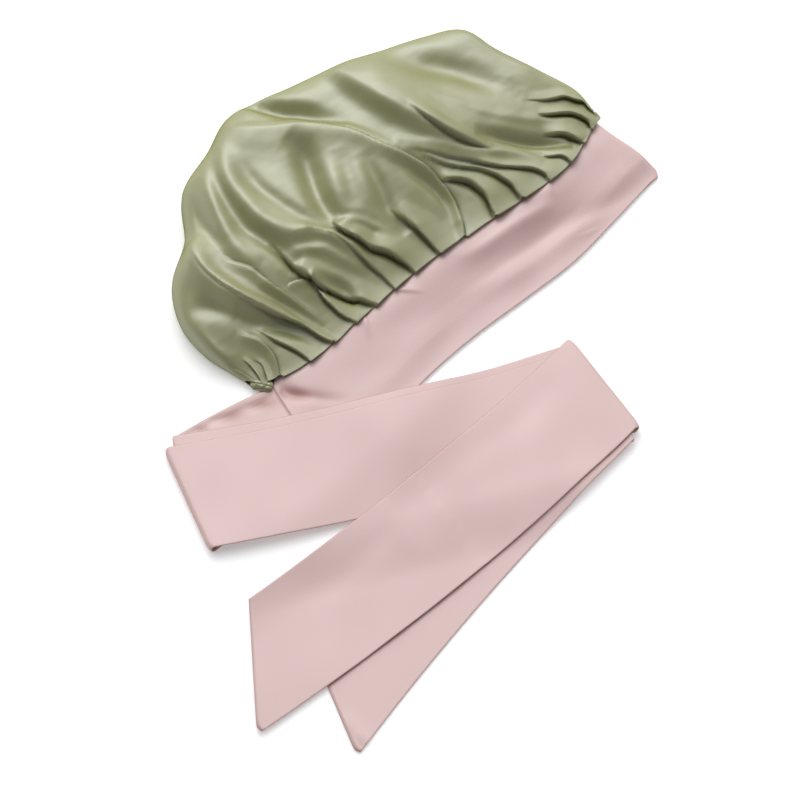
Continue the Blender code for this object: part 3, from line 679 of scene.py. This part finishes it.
# The band is a wide strip of blush satin, doubled, whose twill back shows. It runs from the nape
# over the folded forehead and back under itself, with the crown sewn in along its inner edge.
STRIP, WALL, LAYER = 75.0, 1.5, 1.8
LAP, LAP_FROM_NAPE, LAP_FROM_FOREHEAD = 6.0, 8.0, 25.0
FOREHEAD_X, FOREHEAD_FLARE, FLARE_ACROSS, FOREHEAD_BULGE = 296.3, 5.5, 0.7, 5.5
JOINT_TOP, JOINT_HEADING, JOINT_REACH = np.array([6.3, -2.6]), math.radians(78.0), 45.0
JOINT_Z, JOINT_Z_REACH = 2.0 * LAYER - 0.3, 17.0
SHELF_FROM, SHELF_ACROSS = 0.14, 0.44
BRIM_FROM, BRIM_ACROSS = 0.45, 0.55
# The blush's crease colour is the reddish painted shade of its puckers and edges.
BLUSH_SATIN = cloth_material("blush satin", colour=(0.62, 0.425, 0.405),
                             shade=(0.59, 0.395, 0.375), painted_crease_shade=(0.36, 0.15, 0.13), polish=0.55,
                             roughness=0.46, threads=560.0, slant=1.0, depth=0.12)


def unit(heading):
    return np.array([math.cos(heading), math.sin(heading)])


def band_half(share, across):
    """Plan and top of the band's upper half; across is 0 inside the crown, 1 at the free edge."""
    x = SEAM * share
    from_nape = smooth_step(x / LAP_FROM_NAPE)
    lap = LAP * from_nape * smooth_step((SEAM + LAP - x) / LAP_FROM_FOREHEAD)
    lap += NAPE_SETBACK * from_nape * smooth_step(1.0 - x / NAPE_REACH)
    inner, brim = column(STATIONS, "hem_y", share) + lap, column(STATIONS, "brim_y", share)
    y = inner + (brim - inner) * across
    slant = JOINT_TOP[0] + (y - JOINT_TOP[1]) / math.tan(JOINT_HEADING)
    end = FOREHEAD_X + FOREHEAD_FLARE * smooth_step(across / FLARE_ACROSS)
    plan_x = x * end / SEAM + slant * (1.0 - smooth_step(x / JOINT_REACH))
    hem_z = column(STATIONS, "hem_z", share) - LAYER
    hem_z = JOINT_Z + (hem_z - JOINT_Z) * smooth_step(x / JOINT_Z_REACH)
    shelf, brim_z = column(STATIONS, "shelf_z", share), column(STATIONS, "brim_z", share)
    z = hem_z + (shelf - hem_z) * smooth_step((across - SHELF_FROM) / SHELF_ACROSS)
    z = z + (brim_z - shelf) * smooth_step((across - BRIM_FROM) / BRIM_ACROSS)
    return np.stack([plan_x, y, z], -1)


BAND_FOLDS = (
    # The long soft valley under the pleats, and the ridge between it and the seam.
    Fold((0, -1.6, -2, -2, -1.9, -1.5, -0.8, 0), 12, (14, 14),
         ((292, -58), (268, -54), (248, -48), (229, -43), (210, -40), (190, -39), (166, -36),
          (144, -30))),
    Fold((0, 1.1, 1.3, 1.1, 0), 8, (7, 7),
         ((236, -29), (222, -27), (201, -24), (176, -22), (156, -18))),
    # Small tucks that run out from the seam, and one at the free edge.
    Fold((0.8, 1.2, 0), 0.8, (6, 6), ((107, -1), (113, -9), (124, -21)), side=-1),
    Fold((1.0, 1.0, 0), 1.5, (4, 4), ((84, -2), (81, -11), (75, -22))),
    Fold((0.8, 0.6, 0), 1.5, (5, 5), ((243, -14), (240, -20), (236, -27))),
    Fold((0.0, 0.8, 0), 1.2, (7, 7), ((230, -56), (244, -60), (258, -64))),
    # The crease at the nape, with the hollow beside it.
    Fold((0.5, 0.7, 0), 1.5, (5, 5), ((8, -6), (5, -15), (2, -26))),
    Fold((-1.6, -1.6, -0.8, 0), 6, (6, 6), ((9, -10), (15, -20), (25, -33), (38, -46))),
)

# Where the pink is painted darker and redder, as painted shade in the puckers towards the nape: an
# oval each, on the band and on the first legs of the ties.
Spot = namedtuple("Spot", "x y length width heading strength")
PAINTED_PUCKER_SHADES = (
    Spot(14, -17, 12, 4.5, -54, 1.0),
    Spot(22, -28, 14, 8, -54, 0.35),
    Spot(-5, -9, 9, 4, 155, 1.0),
    Spot(-26, -2, 9, 4, 160, 0.9),
    Spot(-47, 5, 5, 3.5, 130, 0.6),
    Spot(-57, 8, 6, 2.2, 165, 0.6),
)
BAND_RIPPLES = (Ripple(60.0, 0.5, 21), Ripple(30.0, 0.2, 22))
SLACK_FROM_SEAM, SLACK_FROM_BRIM = 0.15, 0.12
SLACK_FROM_FOREHEAD, SLACK_FROM_NAPE, SLACK_BEFORE_NAPE = 0.06, 0.03, 0.005
# Rows of the mesh that follow a rounded edge, by how far in they are.
EDGE_ROWS = np.array([0.0, 0.08, 0.25, 0.5, 0.8, 1.2])
EDGE_ROUND, EDGE_SINK, EDGE_FULLNESS = 0.8, 0.5, 0.25
# Painted shade along the band's free edge: how dark, and how far in.
EDGE_PAINTED_SHADE, EDGE_PAINTED_SHADE_WIDTH = 0.2, 0.4
BRIM_EDGE, BRIM_DROOP = 2.3, 22.0
FOREHEAD_PULL, FOREHEAD_CORNER, FOREHEAD_SHARE = 3.2, 9.0, 0.04
LOWER_SET_IN, SET_IN_FROM_BRIM, SET_IN_SHARE = 1.2, 30.0, 0.1
LIFT_BEGINS, LIFT_REACH, LIFT_FROM_NAPE = 2.2 * LAP, 1.4 * LAP, 12.0
BAND_WALL = 0.9
BAND_COLUMNS, BAND_ROWS, FIRST_INNER_ROW, FOREHEAD_STEPS = 220, 76, 0.975, 18


def painted_pucker_shade_at(points):
    """How much painted shade each point gets in the puckers by the nape."""
    deeper = np.zeros(points.shape[:-1])
    for spot in PAINTED_PUCKER_SHADES:
        x, y = points[..., 0] - spot.x, points[..., 1] - spot.y
        ahead = unit(math.radians(spot.heading))
        along = (x * ahead[0] + y * ahead[1]) / spot.length
        across = (y * ahead[0] - x * ahead[1]) / spot.width
        deeper = np.maximum(deeper, spot.strength * np.exp(-(along**2) - across**2))
    return deeper


def slack_of_band(share, across):
    """1 where the band's cloth is free to ripple, and 0 at its seam, its edge and its ends."""
    slack = smooth_step(across / SLACK_FROM_SEAM) * smooth_step((1.0 - across) / SLACK_FROM_BRIM)
    slack *= smooth_step((1.0 - share) / SLACK_FROM_FOREHEAD)
    return slack * smooth_step((share + SLACK_BEFORE_NAPE) / SLACK_FROM_NAPE)


def band_underside(upper, share, from_brim):
    """The lower half of the band, flat on the table but for a step up where the crown is sewn in."""
    from_hem = crown_hem_y(np.clip(upper[..., 0], 0.0, SEAM)) - upper[..., 1]
    lift = LAYER * smooth_step((LIFT_BEGINS - from_hem) / LIFT_REACH)
    lift *= smooth_step((upper[..., 0] - JOINT_TOP[0]) / LIFT_FROM_NAPE)
    set_in = LOWER_SET_IN * smooth_step(1.0 - from_brim / SET_IN_FROM_BRIM)
    set_in *= smooth_step((1.0 - share) / SET_IN_SHARE)
    return np.stack([upper[..., 0], upper[..., 1] + set_in, lift], -1)


def forehead_turn(over, under):
    """The rows that turn round from the end of the upper half to the end of the lower one."""
    middle, half = 0.5 * (over[:, 2] + under[:, 2]), 0.5 * (over[:, 2] - under[:, 2])
    turns = []
    for angle in np.linspace(0.0, math.pi, FOREHEAD_STEPS)[1:-1]:
        x = over[:, 0] + FOREHEAD_BULGE * math.sin(angle)
        turns.append(np.stack([x, over[:, 1], middle + half * math.cos(angle)], -1))
    return turns


def make_band():
    rows = np.concatenate([1.0 - EDGE_ROWS / STRIP, np.linspace(FIRST_INNER_ROW, 0.0, BAND_ROWS)])
    share, across = np.meshgrid(np.linspace(0.0, 1.0, BAND_COLUMNS), rows, indexing="ij")
    from_brim = STRIP * (1.0 - across)
    upper, slack = band_half(share, across), slack_of_band(share, across)
    upper[..., 2] += slack * ripple(upper[..., :2], BAND_RIPPLES)
    upper, _ = lay_folds(upper, BAND_FOLDS, slack, 0.0)
    at_forehead = smooth_step((share - 1.0 + FOREHEAD_SHARE) / FOREHEAD_SHARE)
    upper[..., 0] -= FOREHEAD_PULL * left_of(FOREHEAD_CORNER, from_brim) ** 2 * at_forehead
    upper[..., 2] += (BRIM_EDGE - upper[..., 2]) * smooth_step(1.0 - from_brim / BRIM_DROOP)
    full = quarter_round(EDGE_ROUND, from_brim)
    upper[..., 2] -= EDGE_SINK * (1.0 - full)
    lower = band_underside(upper, share, from_brim)
    grid = np.concatenate([upper, forehead_turn(upper[-1], lower[-1]), lower[::-1]])
    fullness = EDGE_FULLNESS + (1.0 - EDGE_FULLNESS) * full[:1]
    # Painted shade: the puckers by the nape and a thin line along the free edge are darkened.
    blush = np.zeros(grid.shape[:2])
    blush[:len(upper)] = np.maximum(painted_pucker_shade_at(upper), EDGE_PAINTED_SHADE * (from_brim < EDGE_PAINTED_SHADE_WIDTH))
    band = cloth_mesh("band_strip", grid, flat_measure(grid))
    keep_painted_shade(band, blush)
    give_wall(band, BAND_WALL, -1.0, np.round(np.repeat(fullness, len(grid), axis=0), 3))
    band.data.materials.append(BLUSH_SATIN)
    return band


band = make_band()
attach(band, "root")
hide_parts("band")


# The ties are the same strip running on past the nape. Each is folded back on itself twice, and
# the lower one's folds wrap round the upper one's at the nape's side. Their ends are cut slanted.
# A leg has its length, its heading in degrees at both ends, and how many layers lie under it.
Leg = namedtuple("Leg", "length start end level steps")
UPPER_TIE = (
    Leg(80.0, 169.0, 166.0, 1, 30),
    Leg(273.0, -33.0, -21.5, 0, 90),
    Leg(294.0, 183.5, 174.0, 1, 100),
)
LOWER_TIE = (
    Leg(84.0, 171.0, 174.0, 0, 30),
    Leg(271.0, -31.5, -22.5, 1, 90),
    Leg(266.0, 183.0, 191.5, 0, 90),
)
CUT_ANGLE = 58.0
FIRST_LEG_BULGE = 1.8
TIE_COLUMNS, COLUMNS_SET_IN, EDGE_COLUMN = 28, 4.5, 2.5
TURN_STEPS = 12
CORNER_PULL, CORNER_SIZE, CORNER_ROWS = 1.2, 6.0, 4.0
TIP_PULL, TIP_SIZE, TIP_SIDE = 4.0, 6.0, -1.0
CORNER_RISE, CORNER_FROM = 1.6, (-10.0, 50.0)
HILL_EDGE, HILL_END = (-130.0, 52.0), (155.0, 75.0)
SECOND_LEG_CORNER, SECOND_LEG_HEADING = (-105.0, -64.0), math.radians(-27.2)
PILE_EDGE = (-48.0, 42.0)


def rise_over(position, start_and_length):
    return smooth_step((position - start_and_length[0]) / start_and_length[1])


def hill(plan):
    """How high the first legs of both ties, with the band's corner, lift what lies on them."""
    x, y = plan[..., 0], plan[..., 1]
    along = x * math.cos(SECOND_LEG_HEADING) + y * math.sin(SECOND_LEG_HEADING)
    height = 2.0 * LAYER + CORNER_RISE * rise_over(x, CORNER_FROM)
    return height * rise_over(y, HILL_EDGE) * smooth_step((HILL_END[0] - along) / HILL_END[1])


def pile(plan):
    """How high the first and second legs of both ties lift what lies on them."""
    x, y = plan[..., 0] - SECOND_LEG_CORNER[0], plan[..., 1] - SECOND_LEG_CORNER[1]
    inside = y * math.cos(SECOND_LEG_HEADING) - x * math.sin(SECOND_LEG_HEADING)
    return hill(plan) + 2.0 * LAYER * rise_over(inside, PILE_EDGE)


def leg_bottom(number, level, plan):
    under = (np.zeros(plan.shape[:-1]), hill(plan), pile(plan))[number]
    return under + level * LAYER


def turn_back(plan, bottom, top, out):
    """The rows of a half turn, from one leg of a tie round onto the next."""
    centre, radius = 0.5 * (top + bottom), 0.5 * (top - bottom) - 0.5 * WALL
    rows = []
    for step in range(1, TURN_STEPS):
        angle = math.pi * step / TURN_STEPS
        turned = plan + out * (radius * math.sin(angle))[:, None]
        rows.append(np.concatenate([turned, (centre - radius * math.cos(angle))[:, None]], -1))
    return rows


def pull_corners(grid, across, turns, last_heading):
    """Draws in a tie's corners where it turns, and its sharp tip, so that they are rounded."""
    row = np.arange(len(grid))
    from_edge = 0.5 * STRIP - np.abs(across)
    pull = CORNER_PULL * left_of(CORNER_SIZE, from_edge) ** 2
    for first, last, out in turns:
        away = np.maximum(np.maximum(first - row, row - last), 0)
        grid[..., :2] -= (left_of(CORNER_ROWS, away)[:, None] * pull)[..., None] * out
    tip = TIP_PULL * left_of(TIP_SIZE, from_edge) ** 2 * (across * TIP_SIDE > 0.0)
    away = len(grid) - 1 - row
    grid[..., :2] -= (left_of(CORNER_ROWS, away)[:, None] * tip)[..., None] * unit(last_heading)
    return grid


def tie_grid(legs):
    """The middle of a tie's thickness, row by row, and how far each column is across it."""
    half_strip = 0.5 * STRIP
    edge = np.append(half_strip - EDGE_ROWS, half_strip - EDGE_COLUMN)
    innermost = half_strip - COLUMNS_SET_IN
    inner = np.linspace(innermost, -innermost, TIE_COLUMNS)
    across = np.concatenate([edge, inner, -edge[::-1]])[:, None]
    row, middle = JOINT_HEADING, JOINT_TOP - half_strip * unit(JOINT_HEADING)
    grid, turns = [], []
    for number, leg in enumerate(legs):
        last = number + 1 == len(legs)
        if last:
            last_row = math.radians(leg.end + CUT_ANGLE)
        else:
            last_row = 0.5 * math.radians(leg.end + legs[number + 1].start)
        last_row += math.pi * round((row - last_row) / math.pi)
        for step in range(leg.steps + 1):
            t = step / leg.steps
            heading = math.radians(leg.start + (leg.end - leg.start) * t)
            line = row + (last_row - row) * t
            plan = middle + across * unit(line) / abs(math.sin(line - heading))
            plan = plan + FIRST_LEG_BULGE * math.sin(math.pi * t) * unit(line) * (number == 0)
            bottom = leg_bottom(number, leg.level, plan)
            grid.append(np.concatenate([plan, bottom[:, None] + 0.5 * WALL], -1))
            if step < leg.steps:
                halfway = t + 0.5 / leg.steps
                ahead = unit(math.radians(leg.start + (leg.end - leg.start) * halfway))
                middle = middle + ahead * leg.length / leg.steps
        row = last_row
        if not last:
            top = leg_bottom(number + 1, legs[number + 1].level, plan) + WALL
            out = unit(row - 0.5 * math.pi)
            out *= np.sign(out @ unit(heading))
            turns.append((len(grid) - 1, len(grid) + TURN_STEPS - 1, out))
            grid += turn_back(plan, bottom, top, out)
    grid = pull_corners(np.array(grid), across[:, 0], turns, math.radians(legs[-1].end))
    return grid, across[:, 0]


TIE_CREASES = (
    # Where the ends were folded when they were pressed, and the turned-over tip of the lower one.
    Fold((0.5, 0.5, 0.3), 1.0, (14, 14), ((29, -116), (24, -152), (19, -188))),
    Fold((0.3, 0.3, 0), 1.0, (12, 12), ((2, -118), (-1, -137), (-3, -163))),
    Fold((0.5, 0.8, 0.5), 1.2, (9, 9), ((-113, -204), (-114, -218), (-112, -234)), side=-1),
    # Two long soft hollows along the last leg.
    Fold((0, -0.5, -0.5, 0), 16, (16, 16), ((40, -121), (91, -128), (120, -128), (150, -124))),
    Fold((0, -0.5, -0.5, 0), 14, (14, 14), ((-80, -125), (-56, -132), (-20, -132), (5, -128))),
)
PUCKERS = (
    # Short creases in the first leg, drawn towards the nape.
    Fold((-0.5, -1.4, -0.8, 0), 4, (4, 4), ((3, -8), (-8, -7), (-17, -3), (-24, 1))),
    Fold((0, -1.2, -1.0, 0), 3, (4, 4), ((-18, -4), (-27, -1), (-36, 3), (-43, 6))),
    Fold((0, -0.8, 0), 3, (3, 3), ((-42, 1), (-48, 5), (-56, 10))),
)
SLACK, SLACK_LENGTH, SLACK_SEED = 0.9, 95.0, 33
TIE_RIPPLES = (Ripple(38.0, 0.22, 34),)
LOWEST, SLACK_FROM_TABLE = 0.6, 4.0
TIE_WALL, TIE_EDGE_FULLNESS = 1.1, 0.2
# Painted shade along the ties' edges where they are less than this full, heavier on the edges
# towards the crown.
TIE_EDGE_PAINTED_SHADE, TIE_CROWN_SIDE_PAINTED_SHADE, PAINTED_SHADE_FULLNESS = 0.2, 0.7, 0.93


def make_tie(name, legs):
    grid, across = tie_grid(legs)
    round_edge = quarter_round(EDGE_ROUND, 0.5 * STRIP - np.abs(across))
    fullness = TIE_EDGE_FULLNESS + (1.0 - TIE_EDGE_FULLNESS) * round_edge
    fullness = np.round(np.repeat(fullness[None], len(grid), axis=0), 3)
    row = np.arange(len(grid))[:, None]
    first_leg, last_leg = row <= legs[0].steps, row >= len(grid) - 1 - legs[-1].steps
    slack = 0.5 + 0.5 * np.clip(waves(grid[..., :2], SLACK_LENGTH, SLACK_SEED), -1.0, 1.0)
    slack = SLACK * slack + ripple(grid[..., :2], TIE_RIPPLES)
    grid, _ = lay_folds(grid, TIE_CREASES, 1.0 * last_leg, 0.0)
    grid, _ = lay_folds(grid, PUCKERS, first_leg * fullness * legs[0].level, 0.0)
    grid[..., 2] = np.maximum(grid[..., 2], LOWEST)
    grid[..., 2] += slack * smooth_step(grid[..., 2] / SLACK_FROM_TABLE)
    # Painted shade along the edges, heavier on the side towards the crown, and in the puckers of the
    # first leg.
    towards_crown = grid[..., 1] > grid[:, grid.shape[1] // 2, None, 1]
    blush = TIE_EDGE_PAINTED_SHADE + TIE_CROWN_SIDE_PAINTED_SHADE * towards_crown
    blush = np.maximum(blush * (fullness < PAINTED_SHADE_FULLNESS), first_leg * painted_pucker_shade_at(grid))
    tie = cloth_mesh(name, grid, flat_measure(grid))
    keep_painted_shade(tie, blush)
    give_wall(tie, TIE_WALL, 0.0, fullness)
    tie.data.materials.append(BLUSH_SATIN)
    return tie


for name, node, legs, length in (("tie_on_top", "upper_tie", UPPER_TIE, 650.0),
                                 ("tie_below", "lower_tie", LOWER_TIE, 625.0)):
    tie = make_tie(name, legs)
    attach(tie, "root")
    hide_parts(node)


# The casing at the nape is a short tube of the crown's satin with elastic in it, which draws the
# cloth into a tight ruched knot between the roots of the ties. Its ends are sewn into the seam.
CASING_MIDDLE, CASING_HEADING = np.array([2.0, 2.4]), math.radians(-56.0)
CASING_LENGTH, CASING_WIDTH, CASING_HEIGHT, CASING_Z = 14.5, 9.0, 7.2, 0.1
CASING_TIP, CASING_TAPER = 0.45, 0.95
GATHERS, GATHER_DEPTH = 7, 0.24
SWIRL, SWIRL_ALONG, SWIRL_START = 0.5, 4.0, 1.0
RING_DEPTH, RINGS = 0.06, 3.0
CASING_STEPS, CASING_SIDES = 60, 96


def make_casing():
    along, turn = np.meshgrid(np.linspace(-1.0, 1.0, CASING_STEPS),
                              np.linspace(0.0, math.tau, CASING_SIDES + 1)[:-1], indexing="ij")
    waist = CASING_TIP + (1.0 - CASING_TIP) * np.sqrt(1.0 - CASING_TAPER * along**2)
    swirl = SWIRL * np.sin(SWIRL_ALONG * along + SWIRL_START)
    gathers = np.abs(np.sin(0.5 * (GATHERS * turn + swirl)))
    rings = RING_DEPTH * np.cos(RINGS * math.pi * along)
    size = waist * (1.0 - GATHER_DEPTH * (1.0 - gathers) ** 2 + rings)
    ahead, aside = unit(CASING_HEADING), unit(CASING_HEADING + 0.5 * math.pi)
    forwards = 0.5 * CASING_LENGTH * along
    sideways = 0.5 * CASING_WIDTH * size * np.cos(turn)
    plan = CASING_MIDDLE + ahead * forwards[..., None] + aside * sideways[..., None]
    height = 0.5 * CASING_HEIGHT * (1.0 + size * np.sin(turn)) + CASING_Z
    points = np.concatenate([plan, height[..., None]], -1)
    points = np.concatenate([points, points[:, :1]], 1)[:, ::-1]
    first_cap = points[:1].mean(1, keepdims=True) + 0.0 * points[:1]
    last_cap = points[-1:].mean(1, keepdims=True) + 0.0 * points[-1:]
    points = np.concatenate([first_cap, points, last_cap])
    casing = cloth_mesh("ruched_casing", points, flat_measure(points))
    casing.data.materials.append(SAGE_SATIN)
    return casing


casing = make_casing()
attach(casing, "root")
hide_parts("nape_casing")
